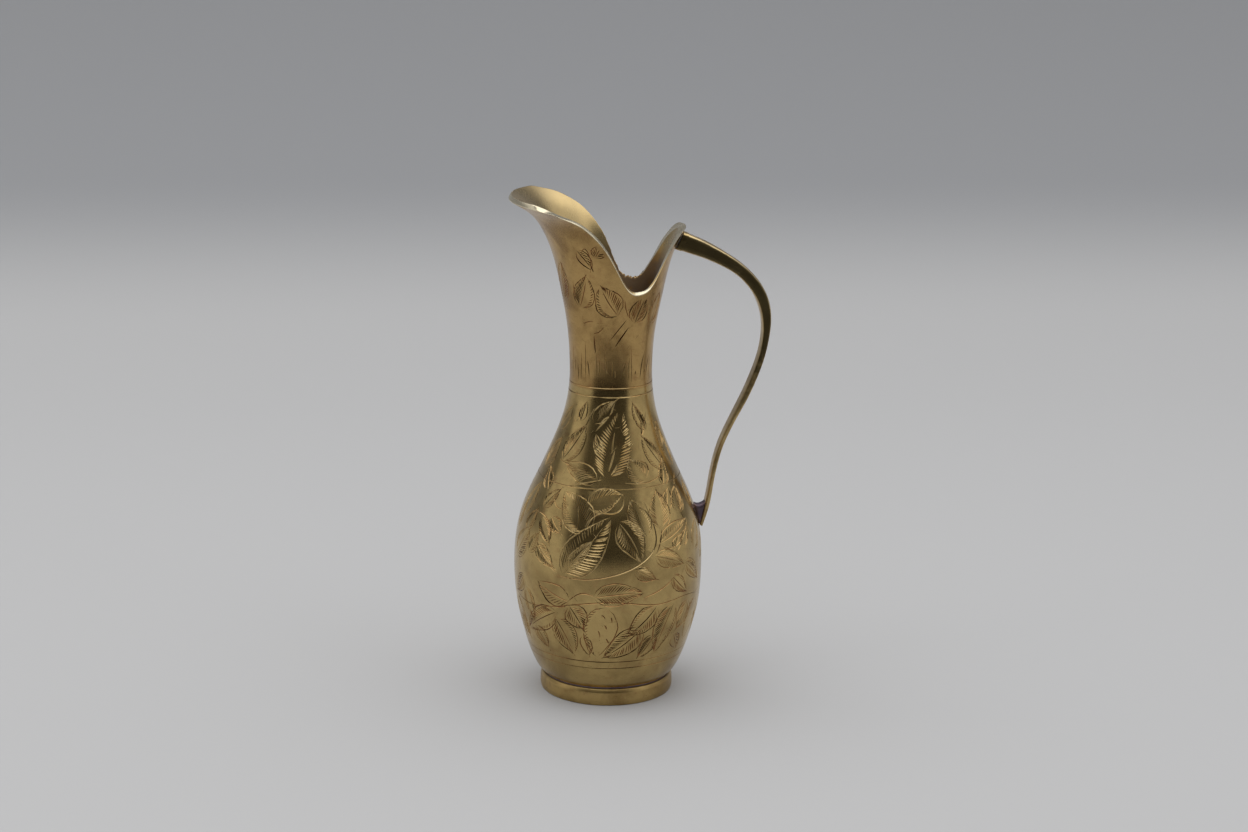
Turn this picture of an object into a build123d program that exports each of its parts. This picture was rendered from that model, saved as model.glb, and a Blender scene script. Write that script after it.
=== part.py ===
"""A small brass ewer with a cut, trumpet-shaped mouth and a strap handle.

Origin: on the belly's axis, on the surface the ewer stands on.
+Z is up, +X points to the handle and -X to the pouring lip.
"""

import os

from build123d import *

# Driving dimensions, in millimetres
WALL = 1.3
WALL_STEPS = 14
FOOT_HEIGHT = 4.5
FOOT_RADIUS = 17.3
FOOT_BORE = 15.2
FOOT_EASE = 0.3
FOOT_BEVEL = 0.5
FOOT_BEVEL_HEIGHT = 0.9
PLATE_TOP = 3.1
PLATE_THICKNESS = 1.6
BRAZE_FILM = 0.4
COLLAR_RADIUS = 16.9
BELLY_RADIUS = 24.45
SEAM_HEIGHT = 81.6
SEAM_RADIUS = 10.72
LIP_RADIUS = 26.4
LIP_UNDERSIDE = 128.9
CUT_START = -19.5
CUT_END_X = 18.4
CUT_END = 123.0
CUT_REACH = 45.0
STRAP_TOP_WIDTH = 4.8
STRAP_FOOT_WIDTH = 4.2
STRAP_TOP_BEAD = 0.45
STRAP_FOOT_BEAD = 0.45

COLLAR_HEIGHT = FOOT_HEIGHT + BRAZE_FILM
BELLY_TOP = SEAM_HEIGHT - BRAZE_FILM / 2
NECK_BOTTOM = SEAM_HEIGHT + BRAZE_FILM / 2

# Outside of the vessel as (radius, height)
belly_outline = [
    (COLLAR_RADIUS, COLLAR_HEIGHT),
    (19.1, 7.9),
    (21.8, 15.8),
    (23.7, 24.4),
    (BELLY_RADIUS, 34.0),
    (23.9, 42.2),
    (21.9, 50.1),
    (18.35, 58.0),
    (14.9, 65.9),
    (12.0, 74.0),
    (SEAM_RADIUS, BELLY_TOP),
]
neck_outline = [
    (SEAM_RADIUS, NECK_BOTTOM),
    (10.6, 87.0),
    (11.5, 97.6),
    (13.0, 105.5),
    (14.8, 113.4),
    (18.3, 121.8),
    (22.7, 126.6),
    (LIP_RADIUS, LIP_UNDERSIDE),
]

# Directions across the wall, at its level ends and at the lip
LEVEL_INWARD = Vector(-1, 0)
LIP_INWARD = Vector(-0.55, 0.83).normalized()

# Side view as (x, height): the cut across the mouth in front and behind, which aren't quite
# alike, and both edges of the handle's strap
front_cut = [
    (CUT_START, 129.5),
    (-15.3, 127.6),
    (-10.0, 125.5),
    (-6.5, 122.8),
    (-3.0, 118.4),
    (0.3, 112.3),
    (3.2, 108.1),
    (5.4, 107.3),
    (8.5, 108.5),
    (11.7, 113.5),
    (13.9, 117.8),
    (15.6, 120.1),
]
back_cut = [
    (CUT_START, 130.4),
    (-16.7, 129.5),
    (-13.2, 128.3),
    (-9.5, 126.7),
    (-5.8, 124.2),
    (-2.1, 120.0),
    (0.1, 116.1),
    (1.6, 112.2),
    (3.4, 108.4),
    (5.8, 107.2),
    (8.6, 108.2),
    (10.3, 111.0),
    (12.1, 114.4),
    (13.9, 117.8),
    (15.6, 120.1),
]
strap_outer = [
    (17.0, 120.9),
    (22.0, 119.0),
    (30.1, 114.5),
    (36.2, 109.6),
    (40.2, 103.2),
    (40.9, 96.0),
    (39.5, 87.7),
    (34.3, 75.0),
    (29.7, 65.5),
    (27.3, 55.9),
    (26.3, 49.5),
    (24.3, 42.8),
]
strap_inner = [
    (23.6, 43.2),
    (25.4, 51.4),
    (27.0, 61.1),
    (32.0, 73.9),
    (37.3, 86.6),
    (38.7, 95.0),
    (36.9, 103.2),
    (29.8, 110.7),
    (22.9, 113.9),
    (15.0, 116.4),
]
top_braze_side = [(15.0, 115.2), (16.6, 115.3), (17.9, 117.5), (19.4, 120.6), (18.0, 121.4), (17.1, 120.9)]
foot_braze_meniscus = [(22.0, 49.9), (24.2, 49.2), (26.0, 50.1)]
foot_braze_point = [(24.6, 43.4), (23.3, 43.4), (21.5, 49.4)]

os.makedirs("parts", exist_ok=True)


def wall_section(outline, top_inward):
    """Draw a wall of even thickness inside an outline that runs upwards from a level foot."""
    outside = Spline(*outline)
    inward = [(outside % (i / WALL_STEPS)).rotate(Axis.Z, 90) for i in range(WALL_STEPS + 1)]
    inward[0], inward[-1] = LEVEL_INWARD, top_inward
    inside = Spline(*[(outside @ (i / WALL_STEPS)) + way * WALL for i, way in enumerate(inward)])
    Line(outside @ 0, inside @ 0)
    Line(outside @ 1, inside @ 1)


# The belly: one spun shell from the collar above the foot to the seam of the neck
with BuildPart() as belly:
    with BuildSketch(Plane.XZ):
        with BuildLine():
            wall_section(belly_outline, LEVEL_INWARD)
        make_face()
    revolve(axis=Axis.Z)
belly.part.label = "belly"
export_step(belly.part, "parts/belly.step")

# The neck: a trumpet turned with a full round rim, then cut away across the mouth
with BuildPart() as neck:
    with BuildSketch(Plane.XZ):
        with BuildLine():
            wall_section(neck_outline, LIP_INWARD)
        make_face()
    revolve(axis=Axis.Z)
    for cut, side in ((front_cut, -1), (back_cut, 1)):
        with BuildSketch(Plane.XZ):
            with BuildLine():
                Spline(*cut)
                Polyline(
                    cut[-1],
                    (CUT_END_X, CUT_END),
                    (CUT_REACH, CUT_END),
                    (CUT_REACH, LIP_UNDERSIDE + WALL * 4),
                    (CUT_START, LIP_UNDERSIDE + WALL * 4),
                    cut[0],
                )
            make_face()
        extrude(amount=CUT_REACH, dir=(0, side, 0), mode=Mode.SUBTRACT)
neck.part.label = "neck"
export_step(neck.part, "parts/neck.step")

# The foot: a turned ring, eased at the ground and bevelled up to the belly's collar
with BuildPart() as foot_ring:
    with BuildSketch(Plane.XZ):
        with BuildLine():
            Polyline(
                (FOOT_BORE, 0),
                (FOOT_RADIUS - FOOT_EASE, 0),
                (FOOT_RADIUS, FOOT_EASE),
                (FOOT_RADIUS, FOOT_HEIGHT - FOOT_BEVEL_HEIGHT),
                (FOOT_RADIUS - FOOT_BEVEL, FOOT_HEIGHT),
                (FOOT_BORE, FOOT_HEIGHT),
                close=True,
            )
        make_face()
    revolve(axis=Axis.Z)
foot_ring.part.label = "foot_ring"
export_step(foot_ring.part, "parts/foot_ring.step")

# The disc that closes the foot, set a little above the surface it stands on
with BuildPart() as base_plate:
    with BuildSketch(Plane.XY.offset(PLATE_TOP - PLATE_THICKNESS)):
        Circle(FOOT_BORE)
    extrude(amount=PLATE_THICKNESS)
base_plate.part.label = "base_plate"
export_step(base_plate.part, "parts/base_plate.step")

# Braze in the joint between foot and collar, a little short of the outside
with BuildPart() as foot_braze:
    with BuildSketch(Plane.XY.offset(FOOT_HEIGHT)):
        Circle(COLLAR_RADIUS - BRAZE_FILM)
        Circle(FOOT_BORE, mode=Mode.SUBTRACT)
    extrude(amount=BRAZE_FILM)
foot_braze.part.label = "foot_braze"
export_step(foot_braze.part, "parts/foot_braze.step")

# Braze in the seam between belly and neck
with BuildPart() as neck_braze:
    with BuildSketch(Plane.XY.offset(BELLY_TOP)):
        Circle(SEAM_RADIUS)
        Circle(SEAM_RADIUS - WALL, mode=Mode.SUBTRACT)
    extrude(amount=BRAZE_FILM)
neck_braze.part.label = "neck_braze"
export_step(neck_braze.part, "parts/neck_braze.step")

# The handle: a flat strap bent in side view, a little narrower at its foot
with BuildPart() as handle:
    with BuildSketch(Plane.XZ):
        with BuildLine():
            Spline(*strap_outer)
            Spline(*strap_inner)
            Line(strap_outer[-1], strap_inner[0])
            Line(strap_inner[-1], strap_outer[0])
        make_face()
    extrude(amount=STRAP_TOP_WIDTH, both=True)
    with BuildSketch(Plane.YZ):
        with BuildLine():
            Polyline(
                (-STRAP_FOOT_WIDTH / 2, strap_outer[-1][1] - WALL),
                (STRAP_FOOT_WIDTH / 2, strap_outer[-1][1] - WALL),
                (STRAP_TOP_WIDTH / 2, strap_outer[0][1] + WALL),
                (-STRAP_TOP_WIDTH / 2, strap_outer[0][1] + WALL),
                close=True,
            )
        make_face()
    extrude(amount=CUT_REACH, both=True, mode=Mode.INTERSECT)
    add(belly.part, mode=Mode.SUBTRACT)
    add(neck.part, mode=Mode.SUBTRACT)
handle.part.label = "handle"
export_step(handle.part, "parts/handle.step")

# Braze at the handle's foot: it fills the V between the strap and the shoulder
with BuildPart() as handle_foot_braze:
    with BuildSketch(Plane.XZ):
        with BuildLine():
            Spline(*foot_braze_meniscus)
            Polyline(foot_braze_meniscus[-1], *foot_braze_point, foot_braze_meniscus[0])
        make_face()
    extrude(amount=STRAP_FOOT_WIDTH / 2 + STRAP_FOOT_BEAD, both=True)
    straight_edges = handle_foot_braze.edges().filter_by(GeomType.LINE)
    fillet(straight_edges.filter_by(Axis.Y, reverse=True), radius=STRAP_FOOT_BEAD)
    add(belly.part, mode=Mode.SUBTRACT)
    add(handle.part, mode=Mode.SUBTRACT)
handle_foot_braze.part.label = "handle_foot_braze"
export_step(handle_foot_braze.part, "parts/handle_foot_braze.step")

# Braze at the handle's top: a low bead round the strap where it butts the trumpet's back
with BuildPart() as handle_top_braze:
    with BuildSketch(Plane.XZ):
        with BuildLine():
            Polyline(*top_braze_side, close=True)
        make_face()
    extrude(amount=STRAP_TOP_WIDTH / 2 + STRAP_TOP_BEAD, both=True)
    add(neck.part, mode=Mode.SUBTRACT)
    add(handle.part, mode=Mode.SUBTRACT)
handle_top_braze.part.label = "handle_top_braze"
export_step(handle_top_braze.part, "parts/handle_top_braze.step")
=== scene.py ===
"""Looks of a small engraved brass ewer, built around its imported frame.

Shapes are worked out in millimetres on the ewer's axis, which is the frame's own origin, and
become metres when a mesh is made. Angles run round the axis from +X, the handle's side.
"""

import math

import bpy
import bmesh
import numpy as np
from mathutils import Matrix, Vector
from mathutils.geometry import delaunay_2d_cdt


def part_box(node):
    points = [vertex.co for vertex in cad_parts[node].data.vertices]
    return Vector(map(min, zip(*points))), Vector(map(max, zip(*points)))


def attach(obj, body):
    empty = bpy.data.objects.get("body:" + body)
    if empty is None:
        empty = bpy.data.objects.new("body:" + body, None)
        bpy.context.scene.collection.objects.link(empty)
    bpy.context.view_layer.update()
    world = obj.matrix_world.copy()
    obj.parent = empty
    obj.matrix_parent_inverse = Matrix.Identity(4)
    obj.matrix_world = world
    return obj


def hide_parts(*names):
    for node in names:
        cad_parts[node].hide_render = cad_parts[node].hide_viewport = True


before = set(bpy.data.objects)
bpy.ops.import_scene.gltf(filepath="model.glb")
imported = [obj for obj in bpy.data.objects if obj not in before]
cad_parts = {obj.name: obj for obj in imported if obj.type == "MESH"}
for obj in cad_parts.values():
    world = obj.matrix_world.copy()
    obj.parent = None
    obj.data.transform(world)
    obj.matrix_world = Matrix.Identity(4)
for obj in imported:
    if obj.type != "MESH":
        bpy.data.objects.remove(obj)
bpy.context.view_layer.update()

MM = 0.001
TURN = 2 * math.pi
WALL = 1.3
# Radius at which a long stroke's angles are counted as millimetres
MEAN_RADIUS = 20
rng = np.random.default_rng(5)


def low_mm(node):
    """Lowest corner of a CAD node in millimetres."""
    return np.array(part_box(node)[0]) / MM


def high_mm(node):
    """Highest corner of a CAD node in millimetres."""
    return np.array(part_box(node)[1]) / MM


FOOT_RADIUS = high_mm("foot_ring")[0]
FOOT_TOP = high_mm("foot_ring")[2]
COLLAR = low_mm("belly")[2]
BELLY_TOP = high_mm("belly")[2]
NECK_LOW = low_mm("neck")[2]
# The outline ends a little below and inside the neck's box, and the rim's crown fills the rest
LIP = high_mm("neck")[2] - WALL * 1.03
BELLY_RADIUS = high_mm("belly")[0]
LIP_RADIUS = -low_mm("neck")[0] - 0.17


# ------------------------------ curves

def natural_spline(knots, values):
    """Smooth curve through points: a cubic between each two, with no bend at the ends."""
    x, y = np.array(knots, float), np.array(values, float)
    step = np.diff(x)
    size = len(x)
    system = np.eye(size)
    right = np.zeros((size,) + y.shape[1:])
    inner = np.arange(1, size - 1)
    system[inner, inner - 1] = step[:-1]
    system[inner, inner] = 2 * (step[:-1] + step[1:])
    system[inner, inner + 1] = step[1:]
    rise = (np.diff(y, axis=0).T / step).T
    right[1:-1] = 6 * np.diff(rise, axis=0)
    bend = np.linalg.solve(system, right)

    def curve(at):
        at = np.asarray(at, float)
        i = np.clip(np.searchsorted(x, at) - 1, 0, size - 2)
        shape = at.shape + (1,) * (y.ndim - 1)
        a = ((x[i + 1] - at) / step[i]).reshape(shape)
        b = 1 - a
        h2 = (step[i] ** 2 / 6).reshape(shape)
        return a * y[i] + b * y[i + 1] + h2 * ((a**3 - a) * bend[i] + (b**3 - b) * bend[i + 1])

    return curve


def chord_curve(points):
    """Smooth curve through 2-D points, run from 0 to 1 by the distance along its chords."""
    points = np.array(points, float)
    along = np.r_[0, np.cumsum(np.hypot(*np.diff(points, axis=0).T))]
    return natural_spline(along / along[-1], points)


# ------------------------------ the turned wall

# Outside of the vessel from the collar to the lip, as (height, radius)
OUTSIDE = [
    (COLLAR, 16.95), (5.8, 17.75), (7.9, 19.0), (10.6, 20.15), (15.8, 21.8), (24.4, 23.75),
    (34.0, BELLY_RADIUS - 0.03), (42.2, 23.9), (50.1, 21.9), (58.0, 18.35), (65.9, 14.9),
    (74.0, 12.0), ((BELLY_TOP + NECK_LOW) / 2, 10.72), (87.0, 10.6), (97.6, 11.5), (105.5, 13.0),
    (113.4, 14.8), (121.8, 18.3), (126.6, 22.7), (LIP, LIP_RADIUS),
]
heights, radii = np.array(OUTSIDE).T
outside_radius = natural_spline(heights, radii)
FINE = np.linspace(COLLAR, LIP, 3000)
FINE_RADIUS = outside_radius(FINE)
FINE_SLOPE = np.gradient(FINE_RADIUS, FINE)
FINE_ARC = np.r_[0, np.cumsum(np.hypot(np.diff(FINE), np.diff(FINE_RADIUS)))]
# Height on the even map: it grows with the arc over the radius, so the map keeps angles
FINE_MAP = np.r_[0, np.cumsum(np.diff(FINE_ARC) / ((FINE_RADIUS[1:] + FINE_RADIUS[:-1]) / 2))]

# Low waves left by spinning and handling, as (height, waves round, phase for each mm up, phase)
SPUN_WAVES = [(0.030, 3, 0.11, 0.0), (0.022, 5, -0.23, 1.0), (0.016, 9, 0.31, 2.0)]


def radius_at(z):
    """Radius of the wall's outside at a height."""
    return np.interp(z, FINE, FINE_RADIUS)


def map_height(z):
    """Height on the even map for a height on the wall."""
    return np.interp(z, FINE, FINE_MAP)


def spun_wave(angle, z):
    """How far the waves stand out: never more than 0, so that they stay inside the outline."""
    return sum(
        size * (np.sin(waves * angle + climb * z + phase) - 1) for size, waves, climb, phase in SPUN_WAVES
    )


def wall_point(angle, z, depth=0.0):
    """Point of the wall: the outline turned round the axis, then moved inwards by depth."""
    r, slope = radius_at(z), np.interp(z, FINE, FINE_SLOPE)
    lean = np.sqrt(1 + slope**2)
    inward = depth - spun_wave(angle, z)
    r = r - inward / lean
    return np.stack([r * np.cos(angle), r * np.sin(angle), z + inward * slope / lean], -1)


def wall_normal(angle, z):
    """Outward direction of the plain wall, from its own differences."""
    e = 1e-3
    round_way = wall_point(angle + e, z) - wall_point(angle - e, z)
    up_way = wall_point(angle, z + e) - wall_point(angle, z - e)
    n = np.cross(round_way, up_way)
    return n / np.linalg.norm(n, axis=-1, keepdims=True)


# ------------------------------ the cut mouth

# Side view of the cut as (x, height), from the full rim down to the dip and up the tongue. The
# cut in front and the one behind aren't quite alike.
TONGUE_CUT = [
    (13.9, 117.8), (15.6, 120.3), (16.8, 121.8), (17.8, 122.6), (19.0, 122.9),
]
FRONT_CUT = [
    (-23.0, 130.2), (-19.5, 129.3), (-15.3, 127.6), (-10.0, 125.5), (-6.5, 122.8), (-3.0, 118.4),
    (0.3, 112.3), (3.2, 108.1), (5.4, 107.3), (8.5, 108.5), (11.7, 113.5), *TONGUE_CUT,
]
BACK_CUT = [
    (-23.0, 130.2), (-19.5, 129.8), (-16.7, 129.2), (-13.2, 128.3), (-9.5, 126.7), (-5.8, 124.2),
    (-2.1, 120.0), (0.1, 116.1), (1.6, 112.2), (3.4, 108.4), (5.8, 107.2), (8.6, 108.2),
    (10.3, 111.0), (12.1, 114.4), *TONGUE_CUT,
]
# Height of the rim's rounded crown
CROWN = 0.36
# How much lower the rim is outside than inside, where it was cut and filed off
BEVEL = 1.4
# Where along X the cut rim starts, and how far on it has its full bevel
CUT_FROM, CUT_EASE = -25.0, 9
# The dip behind: angle of its middle, and half its width
DIP_MIDDLE, DIP_WIDTH = -1.62 * np.pi, 0.42


def cut_height(angle, depth):
    """Height on the outline where the wall, at this depth, meets the cut, for each angle."""
    z = FINE[FINE > 95][None, :]
    p = wall_point(angle[:, None], z, depth)
    x = p[..., 0]
    limit = np.full(x.shape, 1e3)
    for cut, half in ((FRONT_CUT, p[..., 1] <= 0), (BACK_CUT, p[..., 1] > 0)):
        cut_x, cut_z = np.array(cut).T
        line = natural_spline(cut_x, cut_z)(np.clip(x, cut_x[0], cut_x[-1]))
        limit = np.where(half & (x > cut_x[0]), line, limit)
    over = p[..., 2] > limit
    first = np.where(over.any(1), over.argmax(1), z.shape[1] - 1)
    return z[0, first]


def back_dip(angle):
    """1 in the middle of the dip behind, fading to 0 round it."""
    return np.exp(-(((angle - DIP_MIDDLE) / DIP_WIDTH) ** 2))


def rim_drop(angle, z, bevel):
    """How far a wall's edge lies below the cut, for each angle; the spout's full rim isn't cut.

    Besides the crown and the bevel, the edge wanders a little, and has nicks in the dip behind.
    The drop is measured along the wall.
    """
    x = radius_at(z) * np.cos(angle)
    cut = np.clip((x - CUT_FROM) / CUT_EASE, 0, 1)
    smooth = 0.04 * np.sin(11 * angle) + 0.03 * np.sin(23 * angle + 1)
    ragged = np.sin(47 * angle) + np.sin(83 * angle + 2) + np.sin(131 * angle + 1)
    bevel = bevel * (0.38 + 0.62 * np.clip(-x / 8, 0, 1))
    drop = CROWN + bevel + 0.07 - smooth - 0.16 * back_dip(angle) * ragged
    lean = np.sqrt(1 + np.interp(z, FINE, FINE_SLOPE) ** 2)
    return drop / lean * cut * cut * (3 - 2 * cut)


def outer_edge(angle):
    """Height of the wall's outside where the rim starts."""
    z = cut_height(angle, 0.0)
    return z - rim_drop(angle, z, BEVEL)


def inner_edge(angle):
    """Height on the outline of the wall's inside where the rim ends."""
    z = cut_height(angle, WALL)
    return z - rim_drop(angle, z, 0.0)


neck_angles = np.linspace(-TURN, 0, 601)
neck_cut = outer_edge(neck_angles)


def neck_tops(angle):
    """Top of the neck's outside below the rim's crown, for each angle."""
    return np.interp(angle, neck_angles, neck_cut)


# ------------------------------ the graver's strokes

# How near strokes come to a part's bottom and top, in mm, and to the seam, in radians
KEEP_OFF_LOW, KEEP_OFF_TOP, KEEP_OFF_SEAM = 0.4, 0.7, 0.02


class Engraving:
    """Strokes of the graver on one part of the wall, each a line of (angle, height) with half-widths.

    A stroke ends where it comes near the part's bottom, its top or the seam under the handle.
    """

    def __init__(self, low, tops):
        self.lines = []
        self.low = low
        self.tops = tops

    def cut(self, angle, z, half_width, closed=False):
        """Add a stroke through these angles and heights, tapered to nothing at its ends."""
        angle, z = np.asarray(angle), np.asarray(z)
        if not closed:
            inside = (z > self.low + KEEP_OFF_LOW) & (z < self.tops(angle) - KEEP_OFF_TOP)
            inside &= (angle > -TURN + KEEP_OFF_SEAM) & (angle < -KEEP_OFF_SEAM)
            last = len(angle) if inside.all() else int(inside.argmin())
            angle, z = angle[:last], z[:last]
            if last < 4:
                return
        taper = 1 if closed else np.sin(np.pi * np.linspace(0, 1, len(angle))) ** 0.5
        self.lines.append((angle, z, half_width * taper, closed))


def on_wall(base, x, y):
    """Angle and height of a point x mm round and y mm up the wall from base (angle, height)."""
    arc = np.interp(base[1], FINE, FINE_ARC) + y
    z = np.interp(arc, FINE_ARC, FINE)
    return base[0] + x / radius_at(z), z


# Each style: outline and rib as half-widths in mm, hatch rows, and the hatching's spacing in mm.
# Hatch rows are (side, start, end, half-width), with start and end as shares of the way from rib
# to outline.
STYLES = {
    "feather": (0.0, 0.0, [(-1, 0.34, 1.0, 0.23), (1, 0.38, 1.0, 0.22)], 0.74),
    "rope": (0.19, 0.15, [(-1, 0.10, 1.0, 0.25), (1, 0.35, 1.0, 0.16)], 0.84),
    "full": (0.18, 0.15, [(-1, 0.12, 0.95, 0.16), (1, 0.12, 0.95, 0.16)], 0.68),
    "half": (0.19, 0.16, [(-1, 0.12, 1.0, 0.18), (1, 0.60, 0.95, 0.14)], 0.66),
    "other": (0.19, 0.16, [(1, 0.12, 1.0, 0.18), (-1, 0.60, 0.95, 0.14)], 0.66),
    "curl": (0.20, 0.18, [(-1, 0.12, 0.95, 0.23), (1, 0.45, 1.0, 0.16)], 0.74),
    "fan": (0.19, 0.0, [(-1, 0.10, 1.0, 0.17), (1, 0.40, 1.0, 0.16)], 0.60),
    "comb": (0.18, 0.0, [(1, -0.55, 0.95, 0.15)], 0.66),
    "brow": (0.24, 0.0, [(1, 0.20, 1.0, 0.17), (-1, 0.70, 0.98, 0.15)], 0.66),
    "fringe": (0.19, 0.0, [(-1, 0.30, 1.0, 0.16), (1, 0.30, 1.0, 0.16)], 0.64),
    "bare": (0.19, 0.16, [(1, 0.15, 0.90, 0.15)], 0.95),
    "spotted": (0.19, 0.0, [(-1, 0.68, 0.98, 0.14)], 0.80),
}

# How far the hand strays: an outline's points in mm, and hatch roots as a share of the leaf
OUTLINE_STRAY, ROOT_STRAY = 0.05, 0.006
# How far a hatch line leans towards the tip along its four points, as a share of the leaf
HATCH_LEAN = np.array([0, 0.07, 0.13, 0.18])


def leaf(engraving, base, tip, width, bow, style):
    """A leaf from base to tip, as (angle in degrees, height): a bowed rib, outlines and hatching.

    The rib is a quadratic curve, and the outline stands off it by half the width times
    sin(pi * t ** 0.75) ** 0.85, so that the leaf is full and widest below its middle.
    """
    outline, rib, hatches, spacing = STYLES[style]
    start = np.radians(base[0]), base[1]
    reach_x = np.radians(tip[0] - base[0]) * radius_at(tip[1])
    reach_y = np.interp(tip[1], FINE, FINE_ARC) - np.interp(base[1], FINE, FINE_ARC)
    reach = np.array([reach_x, reach_y])
    length = np.hypot(*reach)
    across = np.array([-reach[1], reach[0]]) / length
    middle = reach / 2 + across * bow

    def at(t, share):
        """Points at t along the rib and at a share of the half-width to one side."""
        t, share = np.broadcast_arrays(np.asarray(t, float), np.asarray(share, float))
        point = 2 * (t * (1 - t))[..., None] * middle + (t**2)[..., None] * reach
        way = 2 * (1 - 2 * t)[..., None] * middle + 2 * t[..., None] * reach
        way /= np.linalg.norm(way, axis=-1, keepdims=True)
        normal = np.stack([-way[..., 1], way[..., 0]], -1)
        half = width / 2 * np.sin(np.pi * np.clip(t, 0, 1) ** 0.75).clip(0) ** 0.85 * share
        return point + normal * half[..., None]

    def stroke(points, half_width):
        engraving.cut(*on_wall(start, points[:, 0], points[:, 1]), half_width)

    run = np.linspace(0, 1, max(7, int(length / 1.1)))
    if outline:
        for side in (-1, 1):
            strayed = at(run, side) + rng.normal(0, OUTLINE_STRAY, (len(run), 2))
            stroke(strayed, outline * rng.uniform(0.8, 1.2))
    if rib:
        stroke(at(run * 0.86, 0.0), rib)
    for side, first, last, half_width in hatches:
        roots = np.arange(0.06, 0.88, spacing / length)
        for root in roots + rng.normal(0, ROOT_STRAY, len(roots)):
            slant = HATCH_LEAN * min(1, 7 / length) * 1.3
            share = side * np.linspace(first, last, 4) * np.array([1, 1, 1, rng.uniform(0.9, 1.04)])
            stroke(at(root + slant * (last - first) / 0.6, share), half_width * rng.uniform(0.75, 1.2))


def vine(engraving, points, half_width):
    """A long stroke through (angle in degrees, height) points."""
    curve = chord_curve([(math.radians(a) * MEAN_RADIUS, z) for a, z in points])
    run = curve(np.linspace(0, 1, 6 * len(points)))
    engraving.cut(run[:, 0] / MEAN_RADIUS, run[:, 1], half_width)


def ring(engraving, height, half_width):
    """A line turned right round the wall, not quite level, pressed harder here and there."""
    angle = np.linspace(-TURN, 0, 301)
    pressure = 0.8 + 0.2 * np.sin(3 * angle + height) + 0.12 * np.sin(17 * angle)
    engraving.cut(angle, height + 0.12 * np.sin(angle + 0.7), half_width * pressure, closed=True)


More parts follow.
